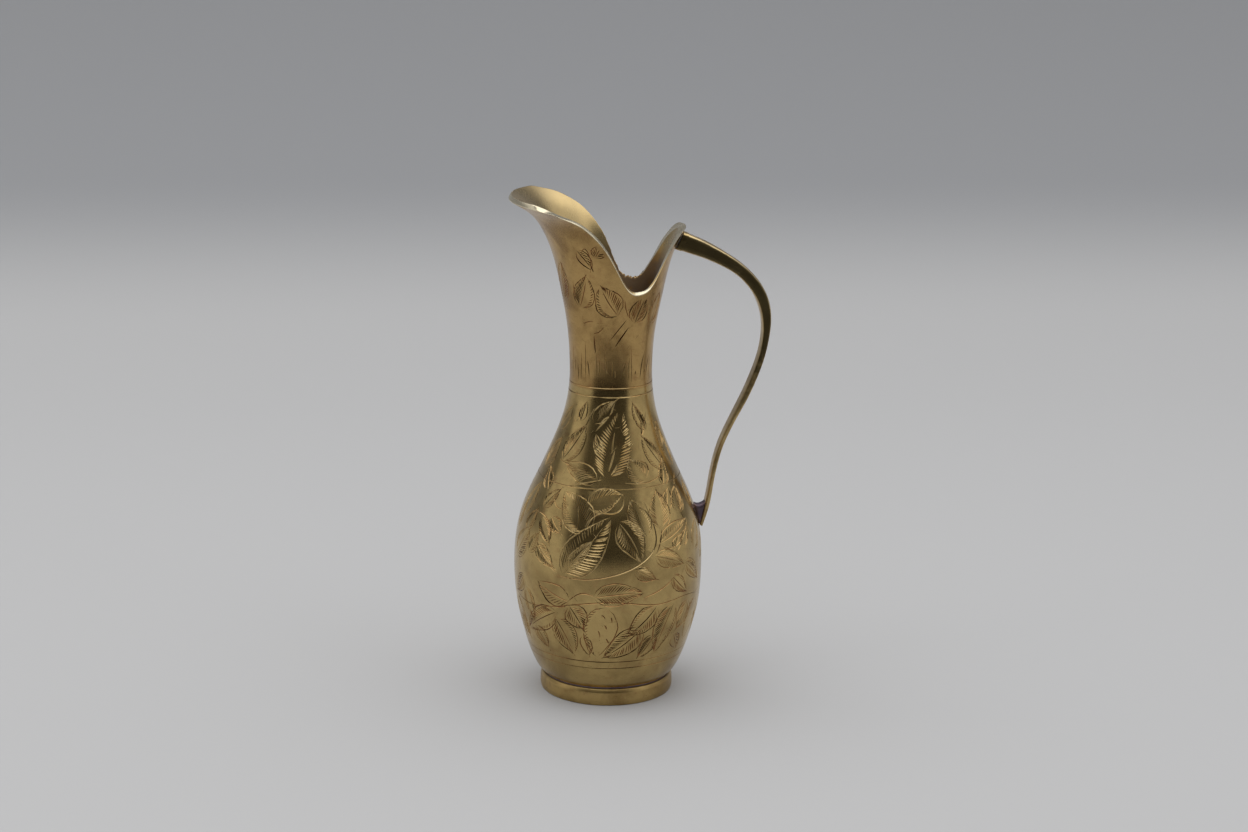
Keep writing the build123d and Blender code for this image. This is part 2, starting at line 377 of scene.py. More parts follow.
# Leaves of one side as (base angle, base height, tip angle, tip height, width, bow, style)
BELLY_LEAVES = [
    # shoulder band
    (-116, 73.4, -90, 79.2, 3.8, 0.7, "comb"),
    (-146, 63.6, -126, 73.0, 5.8, -0.9, "other"),
    (-99, 60.0, -83, 77.2, 9.6, -0.9, "feather"),
    (-40, 61.6, -59, 70.2, 5.5, 0.7, "half"),
    (-64, 59.8, -77, 65.2, 6.4, 0.5, "fan"),
    (-106, 59.8, -141, 63.2, 5.0, -0.6, "comb"),
    (-22, 60.3, -35, 74.0, 5.0, -0.7, "feather"),
    (-170, 60.2, -158, 68.6, 5.3, 0.6, "full"),
    (-172, 70.0, -152, 77.0, 3.6, -0.5, "bare"),
    (-50, 71.2, -66, 78.6, 3.1, 0.5, "half"),
    (-135, 73.5, -128, 78.8, 2.2, 0.2, "bare"),
    (-150, 56.0, -160, 61.5, 4.1, 0.4, "half"),
    (-48, 57.6, -38, 64.0, 3.8, -0.4, "other"),
    (-30, 66.0, -24, 73.0, 3.1, 0.3, "full"),
    (-105, 66.0, -112, 71.0, 2.2, 0.3, "bare"),
    # broad band
    (-148, 51.8, -137, 57.0, 3.4, 0.4, "half"),
    (-111, 47.6, -133, 56.8, 8.6, -0.9, "fan"),
    (-112, 54.0, -86, 56.9, 6.2, 0.8, "brow"),
    (-71, 46.4, -80, 55.8, 6.2, 0.6, "other"),
    (-90, 50.6, -76, 40.4, 7.2, 1.3, "curl"),
    (-60, 47.8, -57, 57.2, 6.4, -0.4, "fan"),
    (-125, 36.6, -95, 51.8, 9.8, -1.6, "rope"),
    (-121, 38.4, -106, 46.0, 3.4, 0.3, "full"),
    (-63, 44.6, -33, 48.8, 5.8, -0.8, "bare"),
    (-67, 41.6, -44, 38.0, 4.6, 0.5, "full"),
    (-147, 49.8, -136, 43.6, 3.8, 0.5, "fringe"),
    (-147, 43.2, -131, 38.0, 4.3, -0.5, "full"),
    (-170, 47.8, -163, 57.0, 5.0, 0.6, "fringe"),
    (-171, 37.4, -156, 46.4, 6.0, -0.8, "half"),
    (-40, 50.4, -33, 57.2, 5.0, 0.4, "half"),
    (-31, 40.0, -21, 47.6, 5.3, -0.5, "fringe"),
    (-20, 50.4, -13, 57.0, 4.1, 0.5, "fan"),
    (-52, 52.0, -43, 57.2, 3.1, 0.3, "bare"),
    (-153, 39.8, -146, 45.6, 3.4, 0.3, "full"),
    (-138, 50.4, -128, 46.8, 3.6, -0.4, "half"),
    (-160, 45.0, -153, 51.0, 3.8, 0.4, "fan"),
    (-52, 42.0, -44, 45.6, 2.9, 0.3, "bare"),
    (-44, 42.6, -36, 46.6, 3.1, 0.3, "fringe"),
    (-18, 36.0, -10, 44.0, 4.1, 0.4, "half"),
    (-176, 44.0, -172, 52.0, 3.4, 0.4, "half"),
    # stem and lower band
    (-119, 29.6, -143, 33.4, 5.8, 0.9, "bare"),
    (-105, 31.4, -74, 32.4, 6.0, 0.8, "full"),
    (-80, 38.8, -66, 35.6, 3.6, -0.3, "full"),
    (-43, 38.4, -26, 32.2, 4.3, 0.5, "full"),
    (-54, 35.6, -40, 30.2, 3.8, -0.4, "half"),
    (-158, 33.4, -171, 27.8, 4.3, 0.6, "full"),
    (-129, 26.3, -158, 19.0, 6.4, -0.7, "half"),
    (-120, 28.6, -111, 22.4, 6.4, 0.4, "full"),
    (-130, 24.6, -119, 14.9, 7.1, 1.0, "half"),
    (-97, 28.9, -103, 14.6, 8.4, -1.2, "spotted"),
    (-74, 22.8, -99, 14.6, 6.6, 0.8, "full"),
    (-65, 28.4, -84, 20.8, 6.5, 0.9, "other"),
    (-52, 28.2, -62, 15.0, 6.6, -1.0, "half"),
    (-38, 27.9, -46, 20.2, 5.8, 0.6, "full"),
    (-64, 20.6, -75, 14.0, 4.2, 0.5, "half"),
    (-156, 30.4, -149, 22.2, 4.6, 0.5, "fringe"),
    (-149, 20.6, -140, 15.2, 4.4, 0.4, "half"),
    (-173, 26.6, -165, 15.6, 6.4, 0.7, "half"),
    (-26, 27.4, -33, 15.8, 5.8, -0.8, "spotted"),
    (-47, 18.8, -40, 14.2, 3.7, 0.3, "bare"),
    (-112, 20.8, -108, 15.0, 2.9, 0.3, "bare"),
    (-166, 22.6, -160, 16.4, 3.7, 0.3, "full"),
    (-20, 24.6, -16, 15.2, 4.3, 0.4, "half"),
    (-9, 27.4, -6, 16.0, 4.6, 0.6, "spotted"),
]
BELLY_VINES = [
    ([(-86, 57.2), (-86, 54.6), (-93, 52.6), (-102, 52.6), (-107, 51.6), (-112, 49.2)], 0.22),
    ([(-158, 50.2), (-145, 50.2), (-136, 47.2), (-135, 44.6)], 0.19),
    ([(-150, 45.6), (-143, 41.8), (-136, 38.6), (-128, 36.8)], 0.18),
    ([(-128, 36.2), (-111, 36.0), (-94, 37.2), (-77, 39.9), (-66, 44.2), (-66, 50.0), (-70, 55.0)], 0.20),
    ([(-119, 53.8), (-117, 51.0), (-118, 48.2), (-122, 46.4)], 0.19),
    ([(-121, 29.6), (-111, 32.3), (-104, 31.7)], 0.17),
    ([(-75, 31.0), (-61, 33.0), (-52, 35.4)], 0.17),
    ([(-174, 27.6), (-153, 26.4), (-125, 28.2), (-108, 29.7), (-88, 30.1), (-66, 28.8), (-40, 29.2),
      (-22, 27.8)], 0.17),
    ([(-60, 48.0), (-62, 45.0), (-66, 41.9)], 0.17),
    ([(-23, 60.0), (-33, 57.5), (-38, 51.0), (-30, 42.0)], 0.16),
    ([(-130, 70.5), (-122, 75.0), (-117, 77.4)], 0.16),
    ([(-62, 78.0), (-56, 74.0), (-58, 70.5), (-52, 72.5), (-45, 76.0)], 0.17),
    ([(-102, 60.4), (-118, 59.2), (-132, 58.0)], 0.17),
    ([(-97, 62.2), (-95.4, 63.6), (-93.4, 65.4), (-91, 67.4)], 0.24),
    ([(-95, 61.4), (-93, 62.2), (-91, 63.0), (-89.4, 64.0)], 0.24),
    ([(-94, 66.6), (-93, 69.2), (-91, 71.6)], 0.18),
    ([(-100, 74.6), (-107, 73.2), (-113, 71.6)], 0.22),
    ([(-98, 75.4), (-104, 74.6), (-109, 73.2)], 0.20),
    ([(-84, 59.6), (-66, 59.2), (-44, 60.6)], 0.16),
    ([(-143, 56.0), (-133, 52.6), (-126, 53.4)], 0.15),
    ([(-97, 20.2), (-96, 19.4), (-95.4, 19.0), (-95, 18.8)], 0.24),
    ([(-98, 24.0), (-97.4, 23.6), (-97, 23.2), (-96.6, 22.8)], 0.24),
    ([(-102, 22.4), (-101.4, 21.8), (-101, 21.2), (-100.8, 20.6)], 0.20),
    ([(-94, 26.2), (-93.6, 25.6), (-93.4, 25.0), (-93.4, 24.6)], 0.20),
    ([(-100, 26.8), (-99, 26.6), (-98.2, 26.2), (-97.6, 25.8)], 0.18),
]
NECK_LEAVES = [
    (-130, 118.2, -116, 113.2, 3.7, 0.4, "bare"),
    (-137, 102.8, -124, 111.6, 6.4, -0.7, "other"),
    (-89, 101.4, -109, 109.2, 7.0, 0.7, "half"),
    (-67, 99.0, -55, 106.4, 5.2, 0.4, "full"),
    (-40, 98.0, -30, 106.4, 5.2, -0.5, "half"),
    (-166, 103.6, -158, 114.2, 5.8, 0.6, "half"),
    (-112, 116.6, -105, 119.8, 3.5, 0.3, "full"),
]
NECK_VINES = [
    ([(-133.6, 98.7), (-126, 99.4), (-119, 99.6)], 0.14),
    ([(-120, 96.4), (-112, 97.0), (-105.6, 98.4)], 0.14),
    ([(-119.5, 95.9), (-119, 93.6), (-117.7, 91.3)], 0.18),
    ([(-91.6, 93.1), (-84, 95.4), (-74.6, 98.3)], 0.19),
    ([(-99, 94.6), (-90, 97.0), (-78, 100.3)], 0.13),
    ([(-82, 105.6), (-80, 103.2), (-76, 101.0)], 0.16),
    ([(-142, 109.8), (-142, 107.4), (-141, 104.6)], 0.15),
    ([(-127, 116.5), (-121, 118.8), (-117, 115.2), (-119, 112.2)], 0.15),
]

# Rings as (height, half-width)
BELLY_RINGS = [(11.4, 0.13), (13.35, 0.14), (58.2, 0.15), (80.2, 0.17)]
NECK_RINGS = [(82.5, 0.16)]


def band_of_leaves(engraving, leaves, vines):
    """The same leaves and vines on both sides of the vessel, half a turn apart."""
    for shift in (0, -180):
        for a, low, b, high, width, bow, style in leaves:
            width = width * rng.uniform(0.95, 1.05)
            leaf(engraving, (a + shift, low), (b + shift, high), width, bow, style)
        for points, half_width in vines:
            vine(engraving, [(a + shift, z) for a, z in points], half_width)


def scratches(engraving, count, low, high, half_width):
    """Fine handling scratches: short straight strokes in any direction."""
    for angle, z in zip(rng.uniform(-TURN + 0.3, -0.3, count), rng.uniform(low, high, count)):
        way, size = rng.uniform(0, TURN), rng.uniform(0.8, 3.5)
        run = np.linspace(0, size, 4)
        engraving.cut(*on_wall((angle, z), run * math.cos(way), run * math.sin(way)), half_width)


def stalks(engraving, low, high, count):
    """Upright strokes of uneven length that rise from the neck's double line."""
    for angle in np.linspace(-TURN + 0.25, -0.25, count) + rng.normal(0, 0.03, count):
        top = low + (high - low) * rng.uniform(0.25, 1)
        bottom = low + rng.uniform(0, 2.5)
        lean = rng.normal(0, 0.05) * np.linspace(0, 1, 5) ** 2
        engraving.cut(angle + lean, np.linspace(bottom, top, 5), rng.uniform(0.09, 0.17))


# ------------------------------ meshes

def grid_faces(rows, columns, offset=0):
    """Quads of a grid of rows by columns points, facing along column way x row way."""
    i, j = np.meshgrid(np.arange(rows - 1), np.arange(columns - 1), indexing="ij")
    first = (i * columns + j + offset).ravel()
    return np.stack([first, first + 1, first + columns + 1, first + columns], -1)


def make_piece(name, points, faces, node, material, marks=None, bare_skin=None):
    """Weld points (mm) and faces into a named piece that rides on the body and stands for its node.

    marks are float values on the points. bare_skin says which faces belong to the plain turned
    wall, whose normals then come from the wall itself, so that reflections stay even.
    """
    mesh = bpy.data.meshes.new(name)
    mesh.from_pydata((np.asarray(points) * MM).tolist(), [], [list(map(int, f)) for f in faces])
    for label, values in (marks or {}).items():
        mesh.attributes.new(label, "FLOAT", "POINT").data.foreach_set("value", np.float32(values))
    skin = np.zeros(len(faces), np.int32) if bare_skin is None else np.asarray(bare_skin, np.int32)
    mesh.attributes.new("skin", "INT", "FACE").data.foreach_set("value", skin)
    work = bmesh.new()
    work.from_mesh(mesh)
    bmesh.ops.remove_doubles(work, verts=work.verts, dist=2e-7)
    bmesh.ops.dissolve_degenerate(work, edges=work.edges, dist=1e-8)
    work.to_mesh(mesh)
    work.free()
    mesh.shade_smooth()
    if bare_skin is not None:
        set_wall_normals(mesh)
    piece = bpy.data.objects.new(name, mesh)
    bpy.context.scene.collection.objects.link(piece)
    mesh.materials.append(material)
    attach(piece, "root")
    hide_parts(node)


def read(items, what, kind, width=1):
    """One property of all a mesh's items, in a flat array."""
    values = np.zeros(len(items) * width, kind)
    items.foreach_get(what, values)
    return values


def set_wall_normals(mesh):
    """Normals: from the wall on its bare skin, flat in the cuts, and averaged elsewhere."""
    corners = read(mesh.loops, "vertex_index", np.int32)
    points = read(mesh.vertices, "co", np.float32, 3).reshape(-1, 3) / MM
    totals = read(mesh.polygons, "loop_total", np.int32)
    flat = read(mesh.polygons, "normal", np.float32, 3).reshape(-1, 3)
    areas = read(mesh.polygons, "area", np.float32)
    skin = read(mesh.attributes["skin"].data, "value", np.int32)
    face_of = np.repeat(np.arange(len(totals)), totals)
    kind = skin[face_of]
    rest = kind == 0
    summed = np.zeros_like(points)
    np.add.at(summed, corners[rest], (flat * areas[:, None])[face_of[rest]])
    summed /= np.maximum(np.linalg.norm(summed, axis=1, keepdims=True), 1e-12)
    normals = np.where(rest[:, None], summed[corners], flat[face_of])
    bare = kind == 1
    at = points[corners[bare]]
    normals[bare] = wall_normal(np.arctan2(at[:, 1], at[:, 0]), at[:, 2])
    mesh.normals_split_custom_set(normals.tolist())
    mesh.attributes.remove(mesh.attributes["skin"])


def nearest_sample(samples, queries, reach):
    """For each query, the nearest sample within reach and how far it is.

    Samples are sorted into square cells as wide as reach, and every query looks through its own
    cell and the eight round it, all queries at once.
    """
    def cell_key(cell):
        return cell[:, 0] * 1000003 + cell[:, 1]

    keys = cell_key(np.floor(samples / reach).astype(np.int64))
    order = np.argsort(keys, kind="stable")
    keys = keys[order]
    home = np.floor(queries / reach).astype(np.int64)
    best, which = np.full(len(queries), np.inf), np.zeros(len(queries), int)
    for shift in np.ndindex(3, 3):
        wanted = cell_key(home + np.array(shift) - 1)
        first, last = np.searchsorted(keys, wanted), np.searchsorted(keys, wanted, "right")
        for k in range((last - first).max()):
            live = np.flatnonzero(first + k < last)
            candidate = order[first[live] + k]
            away = np.hypot(*(samples[candidate] - queries[live]).T)
            closer = away < best[live]
            best[live[closer]] = away[closer]
            which[live[closer]] = candidate[closer]
    return which, best


# Engraved skin: spacing of the plain grid's points in mm, and points up each side of the seam
GRID_STEP, SEAM_POINTS = 1.25, 58
# Spacing in mm of the samples along a stroke that depths are measured from, and how far they reach
SAMPLE_STEP, SAMPLE_REACH = 0.08, 0.5
# Depth of a cut for each mm of its half-width, and height in mm of the burr beside it
CUT_SLOPE, BURR = 0.7, 0.016


def engraved_skin(low, tops, angles, engraving):
    """The engraved outside of the wall, as points, triangles, cut depth and bare-skin marks.

    The (angle, map height) plane is triangulated so that its edges run along each stroke's
    middle and both its sides; the middle line then sinks into the wall as a V.
    """
    middle, span = [], []
    points, edges = [], []
    count = 0

    def put(new_points, new_edges):
        nonlocal count
        points.append(new_points)
        edges.append(np.asarray(new_edges) + count)
        count += len(new_points)

    tall = map_height(tops)
    bottom = np.stack([angles, np.full(len(angles), map_height(low))], -1)
    side = np.linspace(map_height(low), tall[0], SEAM_POINTS + 2)[1:-1]
    border = np.concatenate([
        bottom,
        np.stack([np.full(SEAM_POINTS, angles[-1]), side], -1),
        np.stack([angles, tall], -1)[::-1],
        np.stack([np.full(SEAM_POINTS, angles[0]), side[::-1]], -1),
    ])
    loop = np.arange(len(border))
    put(border, np.stack([loop, np.roll(loop, -1)], -1))

    for angle, z, half, closed in engraving.lines:
        line = np.stack([angle, map_height(z)], -1)
        way = np.gradient(line, axis=0)
        if closed:
            # Level at the seam, so that both ends of the ring meet there
            way[[0, -1]] = 1, 0
        way /= np.linalg.norm(way, axis=1, keepdims=True)
        off = np.stack([-way[:, 1], way[:, 0]], -1) * (half / radius_at(z))[:, None]
        keep = slice(None) if closed else slice(1, -1)
        n = len(line)
        first, second = (line + off)[keep], (line - off)[keep]
        m = len(first)
        mid = np.arange(n)
        run = np.arange(m)
        left, right = run + n, run + n + m
        if not closed:
            left, right = np.r_[0, left, n - 1], np.r_[0, right, n - 1]
        links = [np.stack([chain[:-1], chain[1:]], -1) for chain in (mid, left, right)]
        put(np.concatenate([line, first, second]), np.concatenate(links))
        length = np.hypot(*np.diff(line, axis=0).T).sum() * MEAN_RADIUS
        fine = np.linspace(0, n - 1, int(length / SAMPLE_STEP) + n)
        middle.append(np.stack([np.interp(fine, mid, line[:, 0]), np.interp(fine, mid, line[:, 1])], -1))
        span.append(np.interp(fine, mid, half))
        middle.append(line)
        span.append(half)
    middle, span = np.concatenate(middle), np.concatenate(span)

    step = GRID_STEP / BELLY_RADIUS
    across = np.arange(angles[0] + step, angles[-1] - step / 2, step)
    up = np.arange(map_height(low) + step, tall.max(), step * 0.87)
    fill = np.stack(np.meshgrid(across, up, indexing="ij"), -1)
    fill[:, 1::2, 0] += step / 2
    fill = fill.reshape(-1, 2)
    fill = fill[fill[:, 1] < np.interp(fill[:, 0], angles, tall) - step * 0.6]
    fill = fill[fill[:, 0] < angles[-1] - step * 0.4]
    clear = nearest_sample(middle, fill, step * 0.4)[1] > step * 0.4
    put(fill[clear], np.zeros((0, 2), int))

    points = np.concatenate(points)
    edges = np.concatenate(edges)
    out, _, faces, *_ = delaunay_2d_cdt(points.tolist(), edges.tolist(), [loop.tolist()], 1, 1e-6)
    out = np.array([tuple(p) for p in out])
    faces = np.array(faces)
    which, away = nearest_sample(middle, out, SAMPLE_REACH / BELLY_RADIUS)
    z = np.interp(out[:, 1], FINE_MAP, FINE)
    away = away * radius_at(z)
    cut = np.clip(1 - away / np.maximum(span[which], 1e-6), 0, 1) * (span[which] > 0.01)
    uncut = cut < 1e-3
    depth = cut * span[which] * CUT_SLOPE
    depth = depth - BURR * uncut * (away < span[which] * 1.2) * (span[which] > 0.08)
    bare = uncut[faces].all(1)
    return wall_point(out[:, 0], z, depth), faces, cut, bare


# Points round a wall, rows over its crown and rows down its lining
COLUMNS, CROWN_ROWS, LINING_ROWS = 321, 7, 50
# The lining carries a painted highlight down to the first height, and is grey-brown and rough below the
# second
THROAT_BRIGHT, THROAT_DULL = 117, 110


def engraved_shell(name, low, tops_outer, tops_inner, crown, engraving, material):
    """A closed wall: engraved outside, a crown of height crown over the top, and a plain inside."""
    angles = np.linspace(-TURN, 0, COLUMNS)
    outer, inner = tops_outer(angles), tops_inner(angles)
    skin, faces, cut, bare = engraved_skin(low, outer, angles, engraving)
    outside, lining = wall_point(angles, outer), wall_point(angles, inner, WALL)
    rows = [outside]
    upward = outside - wall_point(angles, outer - 0.3)
    upward /= np.linalg.norm(upward, axis=1, keepdims=True)
    centre, reach = (outside + lining) / 2, (outside - lining) / 2
    for turn in np.linspace(0, np.pi, CROWN_ROWS + 2)[1:-1]:
        flat = abs(math.cos(turn)) ** 0.6 * math.copysign(1, math.cos(turn))
        rows.append(centre + reach * flat + upward * crown * math.sin(turn) ** 0.6)
    rows += [wall_point(angles, inner + (low - inner) * d, WALL) for d in np.linspace(0, 1, LINING_ROWS)]
    rows.append(wall_point(angles, np.full(COLUMNS, low)))
    rows = np.array(rows)
    rim, inside, throat = np.zeros((3, len(rows), COLUMNS))
    # The crown is paler, partly wear and partly a painted highlight, except in the nicked dip behind
    rim[1:CROWN_ROWS + 1] = 1 - back_dip(angles)
    lined = slice(CROWN_ROWS + 1, -1)
    # Down the lining: a painted highlight near the top that fades out by THROAT_DULL, grey-brown below
    inside[lined] = np.clip((THROAT_BRIGHT - rows[lined, :, 2]) / (THROAT_BRIGHT - THROAT_DULL), 0, 1)
    throat[lined] = 1 - inside[lined]
    more = grid_faces(len(rows), COLUMNS, len(skin))
    points = np.concatenate([skin, rows.reshape(-1, 3)])
    everything = [*faces.tolist(), *more.tolist()]
    marks = {"cut": np.r_[cut, np.zeros(rim.size)]}
    for label, values in (("rim", rim), ("inside", inside), ("throat", throat)):
        marks[label] = np.r_[np.zeros(len(skin)), values.ravel()]
    make_piece(
        name, points, everything, name, material, marks,
        bare_skin=np.r_[np.where(bare, 1, 2), np.zeros(len(more), int)],
    )


# ------------------------------ materials

def linear(code):
    """Linear colour of an sRGB hex code."""
    srgb = np.array([int(code[i:i + 2], 16) for i in (1, 3, 5)]) / 255
    return (*np.where(srgb <= 0.04045, srgb / 12.92, ((srgb + 0.055) / 1.055) ** 2.4), 1.0)


def add(tree, kind, settings=None, inputs=None):
    """Add a node, set its own settings, and fill its inputs with values or links."""
    made = tree.nodes.new(kind)
    for key, value in (settings or {}).items():
        setattr(made, key, value)
    for key, value in (inputs or {}).items():
        if isinstance(value, bpy.types.NodeSocket):
            tree.links.new(value, made.inputs[key])
        else:
            made.inputs[key].default_value = value
    return made


PER_MM = 1 / MM
RGBA = {"data_type": "RGBA"}
SMOOTH = {"interpolation_type": "SMOOTHSTEP"}
PLUS, TIMES = {"operation": "ADD"}, {"operation": "MULTIPLY"}
# Heights over which the swell's cuts fade into their painted highlight, going up and going down
SWELL_START, SWELL_END = (34, 40), (96, 86)


def aged_brass(name, clean, brown, dirt, share, roughness, turned=1.0):
    """Brass that was worked, polished long ago and handled since.

    The eye gets a soft gold shine, drifting into brown patches 6 to 15 mm wide, with dark dots
    under half a millimetre, red-brown dirt in the cuts, faint marks of turning, and a paler rim,
    partly wear and partly a painted highlight. The throat and the swell's cuts carry a painted
    highlight, the strap's upper sides carry painted shade, and the lining turns grey-brown lower down.
    share is how much brown there is, and turned the strength of the turning marks. Sizes are in
    millimetres.
    """
    material = bpy.data.materials.new(name)
    material.use_nodes = True
    tree = material.node_tree
    place = add(tree, "ShaderNodeTexCoord").outputs["Object"]
    patch, cloud, dots = (
        add(tree, "ShaderNodeTexNoise", inputs={
            "Vector": place, "Scale": PER_MM / size, "Detail": detail, "Roughness": rough,
            "Distortion": bend,
        }).outputs["Fac"]
        for size, detail, rough, bend in ((9, 5.0, 0.62, 0.4), (2.2, 4.0, 0.6, 0.0), (0.5, 2.0, 0.5, 0.0))
    )
    turning, scuffs = (
        add(tree, "ShaderNodeTexNoise", inputs={
            "Vector": add(tree, "ShaderNodeMapping", inputs={
                "Vector": place, "Rotation": turn, "Scale": [PER_MM / size for size in sizes],
            }).outputs["Vector"],
            "Scale": 1.0, "Detail": detail, "Roughness": rough,
        }).outputs["Fac"]
        for turn, sizes, detail, rough in (
            ((0, 0, 0), (25, 25, 0.28), 3.0, 0.6),
            ((0.5, 0.3, 0.9), (0.16, 9, 2), 2.0, 0.7),
        )
    )
    marks = {
        label: add(tree, "ShaderNodeAttribute", {"attribute_name": label}).outputs["Fac"]
        for label in ("cut", "rim", "inside", "throat", "soil")
    }
    inner = add(tree, "ShaderNodeMath", TIMES, {0: marks["inside"], 1: cloud}).outputs[0]
    # Painted shade on the strap's upper sides, broken up by the cloud; it also roughens and crusts them
    soil = add(tree, "ShaderNodeMath", TIMES, {0: marks["soil"], 1: cloud}).outputs[0]

    # Painted highlight in the cuts: on the swell they lose their patina colour, which those below and on
    # the neck keep. In the middle of its front and back they are painted pale, brightest of all
    height = add(tree, "ShaderNodeSeparateXYZ", inputs={0: place}).outputs["Z"]
    outward = add(tree, "ShaderNodeVectorMath", TIMES, {0: place, 1: (1, 1, 0)}).outputs[0]
    outward = add(tree, "ShaderNodeVectorMath", {"operation": "NORMALIZE"}, {0: outward}).outputs[0]
    sideways = add(tree, "ShaderNodeSeparateXYZ", inputs={0: outward}).outputs["X"]
    sideways = add(tree, "ShaderNodeMath", PLUS, {0: sideways, 1: 0.1}).outputs[0]
    sideways = add(tree, "ShaderNodeMath", {"operation": "ABSOLUTE"}, {0: sideways}).outputs[0]
    painted_sheen_in_cuts = marks["cut"]
    for low, high in (SWELL_START, SWELL_END):
        within = add(tree, "ShaderNodeMapRange", SMOOTH, {
            "Value": height, "From Min": low * MM, "From Max": high * MM,
        }).outputs["Result"]
        painted_sheen_in_cuts = add(tree, "ShaderNodeMath", TIMES, {0: painted_sheen_in_cuts, 1: within}).outputs[0]
    within = add(tree, "ShaderNodeMapRange", SMOOTH, {
        "Value": sideways, "From Min": 0.58, "From Max": 0.40,
    }).outputs["Result"]
    painted_glint_in_cuts = add(tree, "ShaderNodeMath", TIMES, {0: painted_sheen_in_cuts, 1: within}).outputs[0]

    # Layers of colour, each as what drives it, where that starts and ends, how strong, and colour
    colour = linear(clean)
    for value, low, high, top, code in (
        (patch, 0.36, 0.68, share, brown),
        (cloud, 0.52, 0.75, 0.55 * share + 0.1, "#96704A"),
        (dots, 0.66, 0.78, 0.55, dirt),
        # Pale rim and strap corners: partly wear, partly a painted highlight
        (marks["rim"], 0.0, 1.0, 0.9, "#EFE4C6"),
        # Painted highlight in the throat
        (marks["throat"], 0.0, 1.0, 0.55, "#DCC794"),
        (inner, 0.1, 0.5, 0.85, "#857A70"),
        # Painted shade on the strap's upper sides, in the dirt colour
        (soil, 0.02, 0.3, 0.9, dirt),
        (marks["cut"], 0.0, 0.7, 0.88, "#7C4A2C"),
        # Painted highlight: the swell's cuts lose their patina colour
        (painted_sheen_in_cuts, 0.0, 0.7, 0.5, clean),
        # Painted highlight: pale cuts in the middle of the swell's front and back
        (painted_glint_in_cuts, 0.0, 0.7, 0.7, "#D2BE8C"),
    ):
        amount = add(tree, "ShaderNodeMapRange", SMOOTH, {
            "Value": value, "From Min": low, "From Max": high, "To Max": top,
        }).outputs["Result"]
        colour = add(tree, "ShaderNodeMix", RGBA, {0: amount, 6: colour, 7: linear(code)}).outputs[2]

    # Roughness and relief, each a sum of shares
    dull = roughness
    for value, strength in ((patch, 0.10), (inner, 0.3), (soil, 0.4), (scuffs, -0.06), (painted_glint_in_cuts, 0.15)):
        part = add(tree, "ShaderNodeMath", TIMES, {0: value, 1: strength}).outputs[0]
        dull = add(tree, "ShaderNodeMath", PLUS, {0: dull, 1: part}).outputs[0]
    crust = add(tree, "ShaderNodeMath", PLUS, {0: inner, 1: soil}).outputs[0]
    crust = add(tree, "ShaderNodeMath", TIMES, {0: crust, 1: dots}).outputs[0]
    relief = 0.0
    for value, strength in ((turning, turned), (scuffs, 0.6), (crust, 8.0)):
        part = add(tree, "ShaderNodeMath", TIMES, {0: value, 1: strength}).outputs[0]
        relief = add(tree, "ShaderNodeMath", PLUS, {0: relief, 1: part}).outputs[0]
    bump = add(tree, "ShaderNodeBump", inputs={
        "Height": relief, "Strength": 0.35, "Distance": 0.02 * MM,
    }).outputs["Normal"]
    shader = tree.nodes["Principled BSDF"]
    shader.inputs["Metallic"].default_value = 1.0
    for label, value in (("Base Color", colour), ("Roughness", dull), ("Normal", bump)):
        tree.links.new(value, shader.inputs[label])
    return material


# Spun brass sheet, engraved, then darkened by years of handling
spun_brass = aged_brass("spun_brass", "#BDA36C", "#867048", "#3A2C1A", 0.62, 0.20)
# The same sheet on the neck, where the ewer is held to pour: browner and duller
held_brass = aged_brass("held_brass", "#B89862", "#80633C", "#38281A", 0.72, 0.24)
# The same metal as a filed and bent strip, which was handled most and is browner
filed_brass = aged_brass("filed_brass", "#C8AF7C", "#8A7248", "#4A4129", 0.75, 0.3, 0.3)
# Turned brass ring, dull from standing and wiping
turned_brass = aged_brass("turned_brass", "#BCA068", "#866C42", "#33281A", 0.7, 0.34, 1.6)
# Brazing metal with its flux left on it: dark, purple grey and rough
braze_metal = aged_brass("fluxed_braze", "#7E7074", "#584C5A", "#2A2428", 0.9, 0.46, 0.2)

# ------------------------------ pieces

def turned_ring(name, section, material):
    """A closed section (radius, height), in order round it, turned about the axis."""
    section = np.array([*section, section[0]], float)
    angle = np.linspace(0, TURN, 257)
    radius, height = section.T
    points = np.stack(np.broadcast_arrays(
        radius[:, None] * np.cos(angle), radius[:, None] * np.sin(angle), height[:, None],
    ), -1)
    faces = grid_faces(len(section), len(angle))
    make_piece(name, points.reshape(-1, 3), faces, name, material)


def rounded(corners, ease, steps=5):
    """The corners (x, y) of a loop, each replaced by a small curve that starts ease before it."""
    corners = np.array(corners, float)
    before, after = np.roll(corners, 1, 0) - corners, np.roll(corners, -1, 0) - corners
    ease = np.minimum(ease, 0.45 * np.minimum(np.hypot(*before.T), np.hypot(*after.T)))[:, None]
    start = corners + before / np.hypot(*before.T)[:, None] * ease
    end = corners + after / np.hypot(*after.T)[:, None] * ease
    t = np.linspace(0, 1, steps)[:, None, None]
    return ((1 - t) ** 2 * start + 2 * t * (1 - t) * corners + t**2 * end).transpose(1, 0, 2).reshape(-1, 2)


def belly_top(angle):
    """Top of the belly, which is level, for each angle."""
    return np.full(len(angle), BELLY_TOP)


belly_work = Engraving(COLLAR, belly_top)
band_of_leaves(belly_work, BELLY_LEAVES, BELLY_VINES)
for height, half in BELLY_RINGS:
    ring(belly_work, height, half)
scratches(belly_work, 260, 8, 78, 0.03)
engraved_shell("belly", COLLAR, belly_top, belly_top, 0.0, belly_work, spun_brass)

